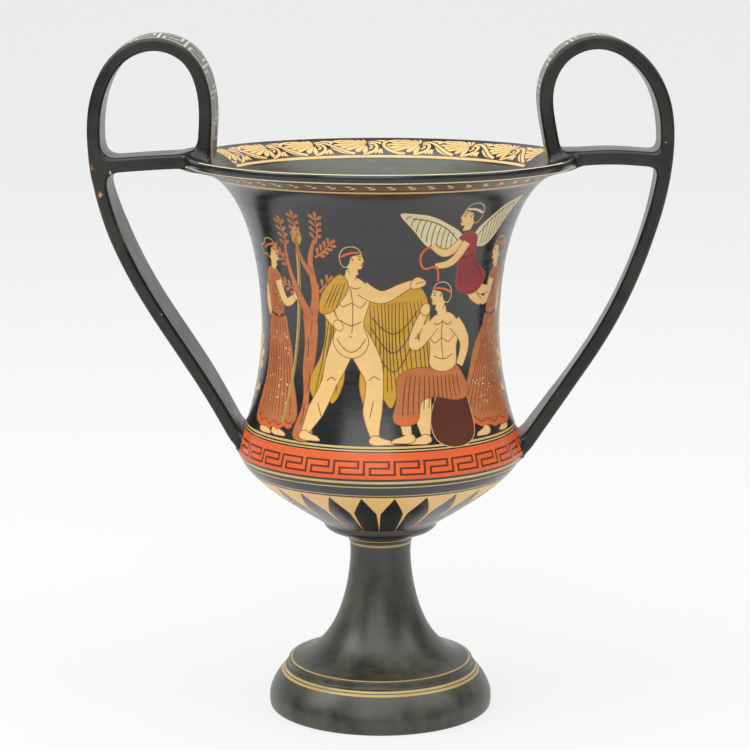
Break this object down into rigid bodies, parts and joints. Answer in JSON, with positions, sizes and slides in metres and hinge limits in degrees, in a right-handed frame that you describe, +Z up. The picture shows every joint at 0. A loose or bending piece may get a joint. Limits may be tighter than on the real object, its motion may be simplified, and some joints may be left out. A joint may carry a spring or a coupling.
{
  "type": "kantharos",
  "caption": "Tall-footed ceramic wine cup with looped strap handles that rise over a flared lip, painted in red-figure style.",
  "frame": {"origin": "middle of the foot's underside, on the surface it stands on", "axes": "+Z up along the turning axis, handles along X, painted front towards -Y"},
  "size_m": [0.2539, 0.169, 0.2997],
  "materials": {
    "black_gloss": "satin black gloss slip with buff, orange and red painted decoration"
  },
  "bodies": {
    "root": {"kantharos": "black_gloss"}
  },
  "joints": []
}
